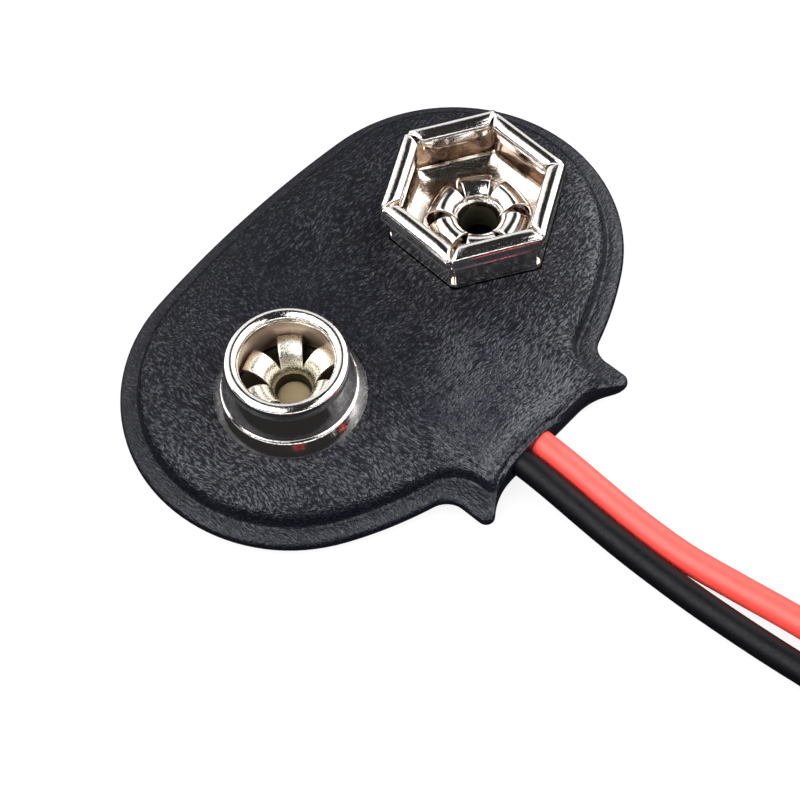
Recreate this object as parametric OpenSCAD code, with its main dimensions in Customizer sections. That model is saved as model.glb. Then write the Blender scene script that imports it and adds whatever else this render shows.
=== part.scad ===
// Battery snap for a nine-volt block battery.
// Two welded vinyl sheets hold a fibre board. A stud and a six-sided socket are riveted to the board
// with split eyelets, and a black and a red lead leave through a tab with two horns.
// X runs from the stud to the socket, -Y is the way the leads leave, and Z is up with the contacts on top.

/* [Cover outline] */
// Width across the two round ends
cover_w = 27.2; // [25:0.2:30]
// Radius of the round ends
end_r = 8.3; // [7.8:0.1:9]
// Distance of the round ends' centres past the contact line
end_y = 0.7; // [0:0.1:1.5]
// Rise of the far edge over the round ends
crown = 0.3; // [0.2:0.1:1]
// Drop of the near edge below the round ends
belly_drop = 1.5; // [1:0.1:2]
// Width of the tab over its horns
tab_w = 10.1; // [9:0.1:12]
// Reach of the horns past the near edge
tab_out = 1.6; // [1.3:0.1:2.4]
// Fillet between the near edge and the tab
neck_r = 0.5; // [0.3:0.1:1]
// Radius of a horn's tip
horn_tip_r = 0.6; // [0.4:0.05:0.7]
// Radius of the scallop beside a horn
scallop_r = 3.3; // [2.6:0.1:4]
// Depth of the scallop from the horns' tips
scallop_depth = 0.85; // [0.7:0.05:1.1]

/* [Cover section] */
// Thickness of one vinyl sheet
sheet_t = 0.6; // [0.4:0.05:0.8]
// How far the back panel stands out from the welded flange
back_bulge = 0.2; // [0.1:0.05:0.3]
// Width of the welded flange
flange_w = 0.8; // [0.6:0.05:1.2]
// Height of the panel's step over the flange
step_h = 0.8; // [0.5:0.05:1]
// Width that the step takes
step_w = 0.35; // [0.2:0.05:0.5]
// Width of the slope from the step to the flat of the panel
slope_w = 1.5; // [1.2:0.1:1.8]
// Width of a horn's flat
horn_w = 1.2; // [0.9:0.1:1.5]
// Lift of the panel over the leads at the mouth
mouth_lift = 0.45; // [0.3:0.05:0.6]
// Half width of that lift
mouth_lift_w = 3.2; // [2.6:0.1:3.6]

/* [Board] */
// Thickness of the fibre board
board_t = 0.8; // [0.6:0.05:1.2]
// Room under the board for the rivet heads and joints
board_lift = 0.7; // [0.65:0.05:1]
// Gap between the board's edge and the cover
board_gap = 0.2; // [0.1:0.05:0.4]

/* [Stud] */
// Distance between the two contacts
contact_pitch = 12.7; // [12.2:0.1:13.2]
// Gap between a contact and the hole in the cover
hole_gap = 0.05; // [0.02:0.01:0.15]
// Thickness of the contacts' sheet
metal_t = 0.3; // [0.2:0.05:0.4]
// Diameter over the stud's rolled lip
lip_d = 5.72; // [5.5:0.02:6]
// Thickness of the rolled lip
lip_roll = 0.68; // [0.5:0.02:0.8]
// Length of the straight land on the lip
lip_land = 0.25; // [0.15:0.05:0.4]
// Height of the stud over the board
stud_h = 3.4; // [3:0.1:3.8]
// Diameter of the stud's foot
foot_d = 7; // [6.6:0.1:7.4]
// Diameter at the stud's shoulder
shoulder_d = 6.4; // [6.2:0.1:6.6]
// Height of the shoulder over the board
shoulder_h = 1.45; // [1.1:0.05:1.7]

/* [Socket] */
// Width of the socket's wall over opposite corners
socket_w = 8.4; // [8:0.1:9]
// Height of the bead's middle over the board
bead_h = 2.93; // [2.6:0.05:3.2]
// Diameter of the rolled bead on each leaf
bead_d = 0.96; // [0.8:0.02:1.1]
// Width of the slit between two leaves
slit_w = 0.12; // [0.08:0.02:0.2]
// Height of the slits' lower ends over the board
slit_h = 0.8; // [0.6:0.05:1.2]
// Turn of the socket's corners from the X axis
socket_turn = 27.5; // [20:0.5:40]

/* [Eyelets] */
// Outside diameter of an eyelet's tube
eyelet_d = 2; // [1.8:0.1:2.4]
// Wall of an eyelet
eyelet_wall = 0.18; // [0.14:0.02:0.24]
// Diameter of an eyelet's head under the board
head_d = 3.8; // [3.2:0.1:4.4]
// Width of one petal
petal_w = 1.05; // [0.8:0.05:1.1]
// Outward sweep of the stud eyelet's petals
stud_petal_out = 0.7; // [0.55:0.05:0.8]
// Rise of the stud eyelet's petals
stud_petal_up = 1.2; // [0.9:0.05:1.4]
// Outward sweep of the socket eyelet's petals
socket_petal_out = 0.65; // [0.5:0.05:0.9]
// Rise of the socket eyelet's petals
socket_petal_up = 0.42; // [0.3:0.02:0.6]
// Height of the solder in the stud's eyelet, over the board's underside
plug_h = 0.65; // [0.4:0.05:0.8]
// Diameter of a solder joint
solder_d = 2.4; // [2:0.1:2.8]
// Small gap between pieces that are soldered or seated
seat_gap = 0.02; // [0.01:0.01:0.05]

/* [Leads] */
// Outside diameter of a lead
lead_d = 1.3; // [1.1:0.05:1.4]
// Diameter of the stranded conductor
core_d = 0.46; // [0.4:0.02:0.5]
// Gap round a lead in the mouth
mouth_gap = 0.05; // [0.03:0.01:0.1]
// Length of a lead from the mouth to the end of its tinned tip
lead_len = 145; // [143:0.5:147]
// Length of the tinned tip
tip_len = 5; // [3:0.5:8]
// Radius of the coil at the middle of its turns
coil_r = 7.77; // [7.7:0.01:7.85]
// Thickness of the tie's band
tie_t = 0.25; // [0.2:0.05:0.4]
// Width of the tie's band
tie_w = 2; // [1.5:0.1:2.4]
// Gap between the tie and the coil
tie_gap = 0.15; // [0.12:0.01:0.2]
// Length of the tie's twisted ends
twist_len = 4; // [3:0.5:6]

/* [Hidden] */
round_fn = 96;

// Colours
vinyl = [0.06, 0.06, 0.08];
nickel = [0.80, 0.77, 0.72];
fibre = [0.35, 0.25, 0.16];
solder_grey = [0.66, 0.62, 0.45];
copper = [0.80, 0.62, 0.48];
lead_black = [0.05, 0.05, 0.06];
lead_red = [0.93, 0.20, 0.16];
tie_white = [0.85, 0.85, 0.83];

// The outline is a far arc, two round ends, a near arc and a tab, all tangent
end_x = cover_w / 2 - end_r;
cover_top = end_y + end_r + crown;
belly = end_r + belly_drop - end_y;
tab_reach = belly + tab_out;
far_r = (end_x * end_x + 2 * end_r * crown + crown * crown) / (2 * crown);
near_r = (end_x * end_x + 2 * end_r * belly_drop + belly_drop * belly_drop) / (2 * belly_drop);
far_c = [0, cover_top - far_r];
near_c = [0, near_r - belly];
end_c = [end_x, end_y];
far_turn = atan2(end_y - far_c.y, end_x);
near_turn = atan2(end_y - near_c.y, end_x);
tip_x = tab_w / 2 - horn_tip_r;
scallop_rise = horn_tip_r - scallop_depth + scallop_r;
scallop_c = [
    tip_x - sqrt(pow(scallop_r + horn_tip_r, 2) - scallop_rise * scallop_rise),
    scallop_depth - tab_reach - scallop_r
];

// The origin is under the middle of the body, so the contact line lies a little past it
contact_y = (tab_reach - cover_top) / 2;
stud_x = -contact_pitch / 2;
socket_x = contact_pitch / 2;

// Levels over the floor
flange_z = 2 * sheet_t;
step_z = flange_z + step_h;
board_z = sheet_t + board_lift;
seat_z = board_z + board_t;
panel_z = seat_z + sheet_t;
head_t = eyelet_wall;
core_z = sheet_t + core_d / 2 + seat_gap;
lead_z = sheet_t + lead_d / 2;

// Insets of the cover's lines from its outline
foot_in = flange_w;
crest_in = foot_in + step_w;
panel_in = crest_in + slope_w;
board_in = panel_in + board_gap;
wall_in = 0.8 * sheet_t;
foot_half = tab_w / 2 - horn_w;
foot_edge = 0.12;
corner_r = 0.2;
round_in = 0.45;

// Steps along each part of half the outline
far_n = 8;
end_n = 14;
near_n = 8;
neck_n = 6;
horn_n = 6;
scallop_n = 5;
edge_n = 4;
tab_n = neck_n + horn_n + 1 + scallop_n + edge_n;

function arc(c, r, a, b, n, first = 0) =
    [for (i = [first:n]) c + r * [cos(a + (b - a) * i / n), sin(a + (b - a) * i / n)]];

// Centre of the fillet between the near arc, set in by d, and a tab side at half
function neck_c(d, half, r) =
    [half + r, near_c.y - sqrt(pow(near_r - d + r, 2) - pow(half + r, 2))];

function oval_side(d, last) = concat(
    arc(far_c, far_r - d, 90, far_turn, far_n),
    arc(end_c, end_r - d, far_turn, near_turn, end_n, 1),
    arc(near_c, near_r - d, near_turn, last, near_n, 1)
);

// Right side of the outline: oval set in by d, tab side at half, near edge set in by e
function tab_side(d, half, neck, e, corner) =
    let (
        n = neck_c(d, half, neck),
        last = atan2(n.y - near_c.y, n.x),
        r = scallop_r + e,
        cx = half - corner,
        cy = scallop_c.y + sqrt(pow(r + corner, 2) - pow(cx - scallop_c.x, 2)),
        lean = atan2(cy - scallop_c.y, cx - scallop_c.x)
    )
    concat(
        oval_side(d, last),
        arc(n, neck, atan2(near_c.y - n.y, -n.x), 180, neck_n, 1),
        arc([cx, cy], corner, 0, lean - 180, horn_n),
        arc(scallop_c, r, lean, 90, scallop_n, 1),
        [for (i = [1:edge_n]) [scallop_c.x * (1 - i / edge_n), scallop_c.y + r]]
    );

// Right side of an oval with no tab, with as many points
function plain_side(d) =
    let (n = neck_c(d, foot_half, neck_r), last = atan2(n.y - near_c.y, n.x))
    concat(
        oval_side(d, last),
        arc(near_c, near_r - d, last, -90, tab_n, 1)
    );

function both(side) = concat(side, [for (i = [len(side) - 2:-1:1]) [-side[i].x, side[i].y]]);

outline = both(tab_side(0, tab_w / 2, neck_r, 0, horn_tip_r));
board_line = both(plain_side(board_in));

// A line of the panel: out is how far it lies in from the foot of the step
function panel_line(out) =
    both(tab_side(foot_in + out, foot_half - out / 2, neck_r + foot_in + out / 2, foot_edge + out, corner_r));

function lifted(line, z, lift) = [for (p = line) [p.x, p.y, z + lift * mouth_bump(p)]];

function mouth_bump(p) =
    p.y > 0 ? 0 : pow(max(0, 1 - pow((p.x - mouth_x) / mouth_lift_w, 2)), 2);

function between(a, b, t) = [for (i = [0:len(a) - 1]) a[i] + (b[i] - a[i]) * t];

// Solid between a stack of lines with the same number of points
module loft(lines) {
    m = len(lines[0]);
    last = len(lines) - 1;
    points = [for (line = lines) each line];
    sides = [
        for (k = [0:last - 1]) for (j = [0:m - 1])
            let (a = k * m + j, b = k * m + (j + 1) % m)
            each [[a, b, b + m], [a, b + m, a + m]]
    ];
    below = [for (j = [m - 1:-1:0]) j];
    above = [for (j = [0:m - 1]) last * m + j];
    polyhedron(points, concat([below, above], sides), convexity = 6);
}

// Points on the leads' routes where they aren't coiled, from the stripped end to the coil
black_route = [
    [-1.65, -7.6, 1.25], [-1.65, -8.7, 1.25], [-1.65, -9.8, 1.25], [-1.65, -11, 1.2],
    [-1.65, -12.2, 1.05], [-1.66, -13.5, 0.87], [-1.68, -15, 0.72], [-1.7, -16.5, 0.66],
    [-1.7, -18, 0.65], [-1.68, -19.5, 0.65], [-1.62, -21, 0.65], [-1.53, -22.5, 0.65],
    [-1.4, -24.3, 0.67], [-1.3, -26, 0.8], [-1.25, -28, 0.9], [-1.22, -30, 0.9],
    [-1.2, -32, 0.9], [-1.2, -34, 0.9]
];
red_route = [
    [-0.35, -7.6, 1.25], [-0.35, -8.7, 1.25], [-0.35, -9.8, 1.25], [-0.35, -11, 1.2],
    [-0.35, -12.2, 1.05], [-0.36, -13.5, 0.87], [-0.38, -15, 0.72], [-0.38, -16.5, 0.66],
    [-0.34, -18, 0.65], [-0.22, -19.2, 0.65], [-0.05, -20.4, 0.65], [0.12, -21.6, 0.65],
    [0.33, -23, 0.65], [0.5, -24.5, 0.68], [0.58, -26, 0.8], [0.52, -28, 0.9],
    [0.35, -30, 0.9], [0.18, -32, 0.9], [0.1, -34, 0.9]
];
mouth_y = scallop_depth - tab_reach;
mouth_x = (black_route[0].x + red_route[0].x) / 2;
coil_c = [7.22, -34];
coil_start = 180;
full_layers = 2;
// Share of a turn, at its end, that already lies a layer higher, over the leads' way in
step_share = 0.28;
tie_turn = 215;
lead_sides = 8;

// Stripped cores, from the insulation's end to the side of the solder
joint_d = solder_d / 2;
joint_c = [socket_x - joint_d, -joint_d];
black_core_route = core_route(black_route[0], [stud_x, 0], solder_d / 2 + seat_gap);
red_core_route = core_route(red_route[0], joint_c, joint_d / 2 + seat_gap);

// A core leaves its lead straight, then drops under the board's near edge
function core_route(start, joint, stand) =
    let (
        bend = [start.x, board_in - belly],
        stop = joint + stand * unit(bend - joint)
    )
    [
        [start.x, start.y, lead_z], [start.x, start.y + core_d, lead_z],
        [bend.x, bend.y, core_z], [stop.x, stop.y, core_z]
    ];

function run_len(route, i) =
    i >= len(route) - 1 ? 0 : norm(route[i + 1] - route[i]) + run_len(route, i + 1);
// Turns that use up what is left of a lead after its straight run
function turns(route, r) =
    (lead_len - tip_len - run_len(route, 0) + route[0].y - mouth_y) / (2 * PI * r);

black_coil_r = coil_r + lead_d / 2;
red_coil_r = coil_r - lead_d / 2;
black_turns = turns(black_route, black_coil_r);
red_turns = turns(red_route, red_coil_r);
coil_z = tie_t;
top_layer_z = coil_z + full_layers * lead_d;

function unit(v) = v / norm(v);
function heading(route, i) =
    unit(route[min(i + 1, len(route) - 1)] - route[max(i - 1, 0)]);
function lead_ring(p, t, r) =
    let (side = unit(cross(t, [0, 0, 1])), up = cross(side, t))
    [
        for (k = [0:lead_sides - 1])
            let (a = -(k + 0.5) * 360 / lead_sides)
            p + r * (cos(a) * side + sin(a) * up)
    ];

// Tube along a route
module tube(route, d) {
    loft([for (i = [0:len(route) - 1]) lead_ring(route[i], heading(route, i), d / 2)]);
}

// Everything is drawn about the contact line, then moved so that the body is centred on the origin
module placed() {
    translate([0, contact_y, 0])
        children();
}

module over(x) {
    placed()
        translate([x, 0, 0])
            children();
}

// Bores that the leads pass through at the mouth, with no web left under them
module mouth_bores() {
    bore_len = tab_out + panel_in + horn_tip_r;
    for (route = [black_route, red_route])
        translate([route[0].x, panel_in - belly, lead_z])
            rotate([90, 0, 0])
                cylinder(d = lead_d + 2 * mouth_gap, h = bore_len, $fn = 32);
    translate([black_route[0].x, panel_in - belly - bore_len, 0])
        cube([red_route[0].x - black_route[0].x, bore_len, lead_z]);
}

// Upper vinyl sheet, formed over the board, with holes for the two contacts
module top_cover() {
    crest = panel_line(step_w);
    flat = both(plain_side(panel_in));
    crest_under = panel_line(step_w + wall_in);
    flat_under = both(plain_side(panel_in + board_gap / 2));
    rise = panel_z - step_z;
    color(vinyl)
    placed()
        difference() {
            loft([
                lifted(flat_under, seat_z, 0),
                lifted(between(crest_under, flat_under, round_in), step_z - sheet_t + 0.7 * rise, 0),
                lifted(crest_under, step_z - sheet_t, mouth_lift),
                lifted(panel_line(wall_in), sheet_t, 0),
                lifted(outline, sheet_t, 0),
                lifted(outline, flange_z - 0.1, 0),
                lifted(between(outline, panel_line(0), 0.15), flange_z, 0),
                lifted(panel_line(0), flange_z, 0),
                lifted(panel_line(0.6 * step_w), flange_z + 0.7 * step_h, mouth_lift),
                lifted(crest, step_z, mouth_lift),
                lifted(between(crest, flat, round_in), step_z + 0.7 * rise, mouth_lift / 3),
                lifted(flat, panel_z, 0)
            ]);
            translate([stud_x, 0, seat_z - board_t])
                cylinder(d = foot_d + 2 * hole_gap, h = 2 * board_t + sheet_t, $fn = round_fn);
            translate([socket_x, 0, seat_z - board_t])
                rotate([0, 0, socket_turn])
                    cylinder(d = socket_w + 2 * hole_gap, h = 2 * board_t + sheet_t, $fn = 6);
            mouth_bores();
        }
}

// Lower vinyl sheet, with its panel standing a little out of the welded flange
module back_cover() {
    color(vinyl)
    placed() {
        translate([0, 0, back_bulge])
            linear_extrude(sheet_t - back_bulge)
                polygon(outline);
        linear_extrude(back_bulge)
            polygon(panel_line(0));
    }
}

// Fibre board that carries the contacts
module contact_board() {
    color(fibre)
    placed()
        difference() {
            translate([0, 0, board_z])
                linear_extrude(board_t)
                    polygon(board_line);
            for (x = [stud_x, socket_x])
                translate([x, 0, board_z - board_t])
                    cylinder(d = eyelet_d + 2 * seat_gap, h = 3 * board_t, $fn = round_fn);
        }
}

// Drawn stud with a rolled lip
module stud_contact() {
    roll = lip_roll / 2;
    lip_x = lip_d / 2 - roll;
    high = stud_h - roll;
    low = high - lip_land;
    color(nickel)
    over(stud_x)
        translate([0, 0, seat_z])
            rotate_extrude($fn = round_fn)
                polygon(concat(
                    [[eyelet_d / 2 + seat_gap, 0], [foot_d / 2, 0], [foot_d / 2, metal_t]],
                    [[shoulder_d / 2, shoulder_h - metal_t / 2], [shoulder_d / 2 - metal_t / 3, shoulder_h]],
                    arc([lip_x, low], roll, -90, 0, 6),
                    arc([lip_x, high], roll, 0, 180, 12),
                    [[lip_x - roll, low - roll]],
                    [[shoulder_d / 2 - 1.4 * metal_t, shoulder_h - metal_t], [foot_d / 2 - 2 * metal_t, metal_t]],
                    [[eyelet_d / 2 + seat_gap, metal_t]]
                ));
}

// One leaf of the socket: flat wall with a rolled bead, between two slits
module socket_leaf() {
    wall_x = socket_w / 2 * cos(30);
    bead_x = wall_x - metal_t / 2;
    reach = socket_w;
    intersection() {
        union() {
            translate([wall_x - metal_t, -socket_w / 2, 0])
                cube([metal_t, socket_w, bead_h]);
            translate([bead_x, socket_w / 2, bead_h])
                rotate([90, 0, 0])
                    cylinder(d = bead_d, h = socket_w, $fn = 48);
        }
        translate([slit_w, 0, slit_h])
            linear_extrude(bead_h + bead_d)
                polygon([[0, 0], [reach, -reach * tan(30)], [reach, reach * tan(30)]]);
    }
}

// Six-sided socket: a cup whose wall is slit at the corners into six leaves
module socket_contact() {
    color(nickel)
    over(socket_x)
        translate([0, 0, seat_z])
            rotate([0, 0, socket_turn]) {
                difference() {
                    cylinder(d = socket_w, h = slit_h, $fn = 6);
                    translate([0, 0, metal_t])
                        cylinder(d = socket_w - 2 * metal_t / cos(30), h = slit_h, $fn = 6);
                    translate([0, 0, -metal_t])
                        cylinder(d = eyelet_d + 2 * seat_gap, h = 3 * metal_t, $fn = round_fn);
                }
                for (k = [0:5])
                    rotate([0, 0, 30 + 60 * k])
                        socket_leaf();
            }
}

// Split eyelet: a head under the board, a tube through it, and petals curled out over the contact
module eyelet(out, up) {
    top = board_t + metal_t;
    tube_r = eyelet_d / 2;
    bore_r = tube_r - eyelet_wall;
    translate([0, 0, board_z]) {
        rotate_extrude($fn = round_fn)
            polygon([
                [bore_r, -head_t], [head_d / 2, -head_t], [head_d / 2, 0], [tube_r, 0],
                [tube_r, top], [bore_r, top]
            ]);
        intersection() {
            rotate_extrude($fn = round_fn)
                translate([tube_r + out, top])
                    polygon(concat(
                        [for (a = [180:-10:60]) [(out + eyelet_wall) * cos(a), (up + eyelet_wall) * sin(a)]],
                        [for (a = [60:10:180]) [out * cos(a), up * sin(a)]]
                    ));
            for (k = [0:2])
                rotate([0, 0, 60 * k + socket_turn])
                    translate([-head_d, -petal_w / 2, 0])
                        cube([2 * head_d, petal_w, top + 2 * up]);
        }
    }
}

module stud_eyelet() {
    color(nickel)
    over(stud_x)
        eyelet(stud_petal_out, stud_petal_up);
}

module socket_eyelet() {
    color(nickel)
    over(socket_x)
        eyelet(socket_petal_out, socket_petal_up);
}

// Solder that fills the stud's eyelet from below, where the black core ends
module stud_solder() {
    under = board_z - head_t - sheet_t - seat_gap;
    plug_r = eyelet_d / 2 - eyelet_wall - seat_gap;
    color(solder_grey)
    over(stud_x)
        translate([0, 0, sheet_t + seat_gap])
            rotate_extrude($fn = round_fn)
                polygon([
                    [0, 0], [solder_d / 2, 0], [solder_d / 2, under], [plug_r, under],
                    [plug_r, under + head_t + plug_h], [0, under + head_t + plug_h]
                ]);
}

// Solder beside the bore of the socket's eyelet, which stays open
module socket_solder() {
    under = board_z - head_t - sheet_t - seat_gap;
    color(solder_grey)
    placed()
        translate([joint_c.x, joint_c.y, sheet_t + seat_gap])
            cylinder(d = joint_d, h = under, $fn = round_fn);
}

module black_core() {
    color(copper)
    placed()
        tube(black_core_route, core_d);
}

module red_core() {
    color(copper)
    placed()
        tube(red_core_route, core_d);
}

// Rings of the coil: whole layers, and the part of the top layer that each lead fills
module coil_ring(inner, outer, low, high, share) {
    rotate([0, 0, coil_start - 360 * step_share])
        rotate_extrude(angle = 360 * share, $fn = round_fn)
            translate([inner, low])
                square([outer - inner, high - low]);
}

module coil_solid() {
    top = top_layer_z + lead_d;
    on_top = step_share - full_layers;
    translate(coil_c) {
        coil_ring(coil_r - lead_d, coil_r + lead_d, coil_z, top_layer_z, 1);
        coil_ring(coil_r, coil_r + lead_d, top_layer_z, top, black_turns + on_top);
        coil_ring(coil_r - lead_d, coil_r, top_layer_z, top, red_turns + on_top);
    }
}

// Straight runs of the leads, which end on the outside of the coil
module black_lead() {
    color(lead_black)
    placed()
        difference() {
            tube(black_route, lead_d);
            coil_solid();
        }
}

module red_lead() {
    color(lead_red)
    placed()
        difference() {
            tube(red_route, lead_d);
            coil_solid();
        }
}

// Both leads wound together
module lead_coil() {
    color(lead_black)
    placed()
        coil_solid();
}

// Band round the turns, with its ends twisted together
module coil_tie() {
    high = (full_layers + 1) * lead_d + tie_gap;
    wide = 2 * (lead_d + tie_gap);
    color(tie_white)
    placed()
        translate(coil_c)
            rotate([90, 0, tie_turn])
                translate([coil_r, 0, 0]) {
                    linear_extrude(tie_w, center = true)
                        difference() {
                            translate([-wide / 2 - tie_t, 0])
                                square([wide + 2 * tie_t, high + 2 * tie_t]);
                            translate([-wide / 2, tie_t])
                                square([wide, high]);
                        }
                    translate([wide / 2 + tie_t, high / 2, 0])
                        rotate([0, 90, 0])
                            linear_extrude(twist_len, twist = 540, slices = 18)
                                square([tie_w / 2, 3 * tie_t], center = true);
                }
}

// Tinned end of a lead, straight out of the last turn
module tip(r, count) {
    placed()
        translate(coil_c)
            rotate([0, 0, coil_start + 360 * count])
                translate([r, 0, top_layer_z + lead_d / 2])
                    rotate([-90, 0, 0])
                        cylinder(d = core_d, h = tip_len, $fn = 32);
}

module black_tip() {
    color(nickel)
        tip(black_coil_r, black_turns);
}

module red_tip() {
    color(nickel)
        tip(red_coil_r, red_turns);
}

top_cover();
back_cover();
contact_board();
stud_contact();
socket_contact();
stud_eyelet();
socket_eyelet();
stud_solder();
socket_solder();
black_core();
red_core();
black_lead();
red_lead();
lead_coil();
coil_tie();
black_tip();
red_tip();
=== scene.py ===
import math
import bmesh
import bpy
from mathutils import Matrix, Vector, noise


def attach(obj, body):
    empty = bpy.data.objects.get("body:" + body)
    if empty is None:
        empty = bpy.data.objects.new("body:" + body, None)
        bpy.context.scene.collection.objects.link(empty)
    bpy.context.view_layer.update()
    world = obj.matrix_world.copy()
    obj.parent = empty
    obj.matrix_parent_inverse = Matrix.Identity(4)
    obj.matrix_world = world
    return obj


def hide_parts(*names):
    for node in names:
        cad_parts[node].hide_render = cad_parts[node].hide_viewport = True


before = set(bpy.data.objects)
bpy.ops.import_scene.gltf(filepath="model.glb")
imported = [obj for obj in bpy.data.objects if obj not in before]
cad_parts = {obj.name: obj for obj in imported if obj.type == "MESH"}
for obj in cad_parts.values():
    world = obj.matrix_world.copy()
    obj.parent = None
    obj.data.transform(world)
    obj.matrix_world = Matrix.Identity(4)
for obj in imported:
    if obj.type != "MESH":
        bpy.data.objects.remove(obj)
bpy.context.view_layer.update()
scene = bpy.context.scene
scene.view_settings.view_transform = "Standard"
mm = 0.001
contactY = 0.7  # line of the two contacts, in mm from the row's origin
studX = -6.35
socketX = 6.35
print("frame loaded,", len(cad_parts), "nodes")


# camera at the photograph's angle
shot = {
    "place": (-43.898, -45.368, 99.728),  # mm
    "turn": (30.9217, 2.2930, -47.7644),  # degrees
    "lens": 112.5,
    "sensor": 36,
}
bpy.ops.object.camera_add(
    location=[v * mm for v in shot["place"]],
    rotation=[math.radians(a) for a in shot["turn"]],
)
camera = bpy.context.object
camera.name = "camera"
camera.data.lens = shot["lens"]
camera.data.sensor_width = shot["sensor"]
camera.data.clip_start = 0.005
camera.data.clip_end = 20
scene.camera = camera


def clearSelection():
    if bpy.context.object and bpy.context.object.mode != "OBJECT":
        bpy.ops.object.mode_set(mode="OBJECT")
    bpy.ops.object.select_all(action="DESELECT")


def pick(obj):
    clearSelection()
    obj.select_set(True)
    bpy.context.view_layer.objects.active = obj


def applyModifiers(obj):
    pick(obj)
    for modifier in list(obj.modifiers):
        bpy.ops.object.modifier_apply(modifier=modifier.name)


def joinPieces(objs):
    clearSelection()
    for obj in objs:
        obj.select_set(True)
    bpy.context.view_layer.objects.active = objs[0]
    bpy.ops.object.join()
    return bpy.context.object


def settle(obj, name, finishes, nodes, angle):
    # pieces are modelled in mm, and end in metres at the origin
    pick(obj)
    bpy.ops.object.transform_apply(location=True, rotation=True, scale=True)
    obj.data.transform(Matrix.Scale(mm, 4))
    obj.name = name
    obj.data.name = name
    obj.data.materials.clear()
    for finish in finishes:
        obj.data.materials.append(finish)
    bpy.ops.object.shade_smooth_by_angle(angle=math.radians(angle))
    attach(obj, "root")
    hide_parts(*nodes)
    print("piece", name, len(obj.data.polygons), "faces")
    return obj


def loft(rings, cap=True):
    # a circle whose edge is extruded from ring to ring
    clearSelection()
    bpy.ops.mesh.primitive_circle_add(vertices=len(rings[0]), radius=10, fill_type="NOTHING")
    obj = bpy.context.object
    bpy.ops.object.mode_set(mode="EDIT")
    mesh = bmesh.from_edit_mesh(obj.data)
    step = mesh.verts.layers.int.new("step")
    mesh.verts.ensure_lookup_table()
    for i, v in enumerate(mesh.verts):
        v[step] = i
        v.co = rings[0][i]
    bmesh.update_edit_mesh(obj.data)
    for ring in rings[1:]:
        bpy.ops.mesh.extrude_edges_move()
        mesh = bmesh.from_edit_mesh(obj.data)
        step = mesh.verts.layers.int["step"]
        for v in mesh.verts:
            if v.select:
                v.co = ring[v[step]]
        bmesh.update_edit_mesh(obj.data)
    bpy.ops.mesh.select_all(action="DESELECT")
    bpy.ops.mesh.select_mode(type="EDGE")
    bpy.ops.mesh.select_non_manifold(
        extend=False, use_wire=False, use_multi_face=False, use_non_contiguous=False, use_verts=False
    )
    if cap:
        bpy.ops.mesh.fill_holes(sides=0)
    else:
        bpy.ops.mesh.bridge_edge_loops()
    bpy.ops.mesh.select_all(action="SELECT")
    bpy.ops.mesh.remove_doubles(threshold=0.0005)
    bpy.ops.mesh.normals_make_consistent(inside=False)
    bpy.ops.object.mode_set(mode="OBJECT")
    return obj


def circleRing(r, z, count, middle):
    turns = [math.tau * i / count for i in range(count)]
    return [(middle[0] + r * math.cos(t), middle[1] + r * math.sin(t), z) for t in turns]


def cutWith(obj, cutters):
    for cutter in cutters:
        cut = obj.modifiers.new("cut", "BOOLEAN")
        cut.object = cutter
        cut.operation = "DIFFERENCE"
        cut.solver = "EXACT"
    applyModifiers(obj)
    for cutter in cutters:
        bpy.data.objects.remove(cutter)
    return obj


def thicken(obj, thickness):
    # a sheet of this thickness, with its edges rounded
    thick = obj.modifiers.new("thick", "SOLIDIFY")
    thick.thickness = thickness
    thick.offset = 0
    edge = obj.modifiers.new("edge", "BEVEL")
    edge.width = 0.05
    edge.segments = 3
    edge.limit_method = "ANGLE"
    edge.angle_limit = math.radians(60)
    applyModifiers(obj)


def twistAlong(obj, axis, degrees):
    twist = obj.modifiers.new("twist", "SIMPLE_DEFORM")
    twist.deform_method = "TWIST"
    twist.deform_axis = axis
    twist.angle = math.radians(degrees)
    applyModifiers(obj)


def placedCopy(obj, matrix):
    copy = obj.copy()
    copy.data = obj.data.copy()
    scene.collection.objects.link(copy)
    copy.data.transform(matrix)
    return copy


def ease(t):
    t = min(1.0, max(0.0, t))
    return t * t * (3 - 2 * t)


# shader nodes
def addNode(tree, kind, values=None, **settings):
    node = tree.nodes.new(kind)
    for key, value in settings.items():
        setattr(node, key, value)
    for key, value in (values or {}).items():
        if isinstance(value, bpy.types.NodeSocket):
            tree.links.new(value, node.inputs[key])
        else:
            node.inputs[key].default_value = value
    return node


def newMaterial(name, color, roughness, metallic=0.0):
    material = bpy.data.materials.new(name)
    material.use_nodes = True
    shader = material.node_tree.nodes["Principled BSDF"]
    shader.inputs["Base Color"].default_value = (*color, 1)
    shader.inputs["Roughness"].default_value = roughness
    shader.inputs["Metallic"].default_value = metallic
    material.diffuse_color = (*color, 1)
    return material, material.node_tree, shader


def newGroup(name, inputs, outputs):
    group = bpy.data.node_groups.new(name, "ShaderNodeTree")
    for label, kind, value in inputs:
        socket = group.interface.new_socket(label, in_out="INPUT", socket_type=kind)
        if value is not None:
            socket.default_value = value
    for label, kind in outputs:
        group.interface.new_socket(label, in_out="OUTPUT", socket_type=kind)
    return group, group.nodes.new("NodeGroupInput"), group.nodes.new("NodeGroupOutput")


def useGroup(tree, group, values):
    return addNode(tree, "ShaderNodeGroup", values, node_tree=group)


def math2(tree, operation, a, b=0.0, c=0.0):
    return addNode(tree, "ShaderNodeMath", {0: a, 1: b, 2: c}, operation=operation).outputs[0]


def vectorMath(tree, operation, a, b, output="Vector"):
    return addNode(tree, "ShaderNodeVectorMath", {0: a, 1: b}, operation=operation).outputs[output]


def mixOf(tree, kind, factor, a, b):
    values = {"Factor": factor, "A": a, "B": b}
    return addNode(tree, "ShaderNodeMix", values, data_type=kind).outputs["Result"]


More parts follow.
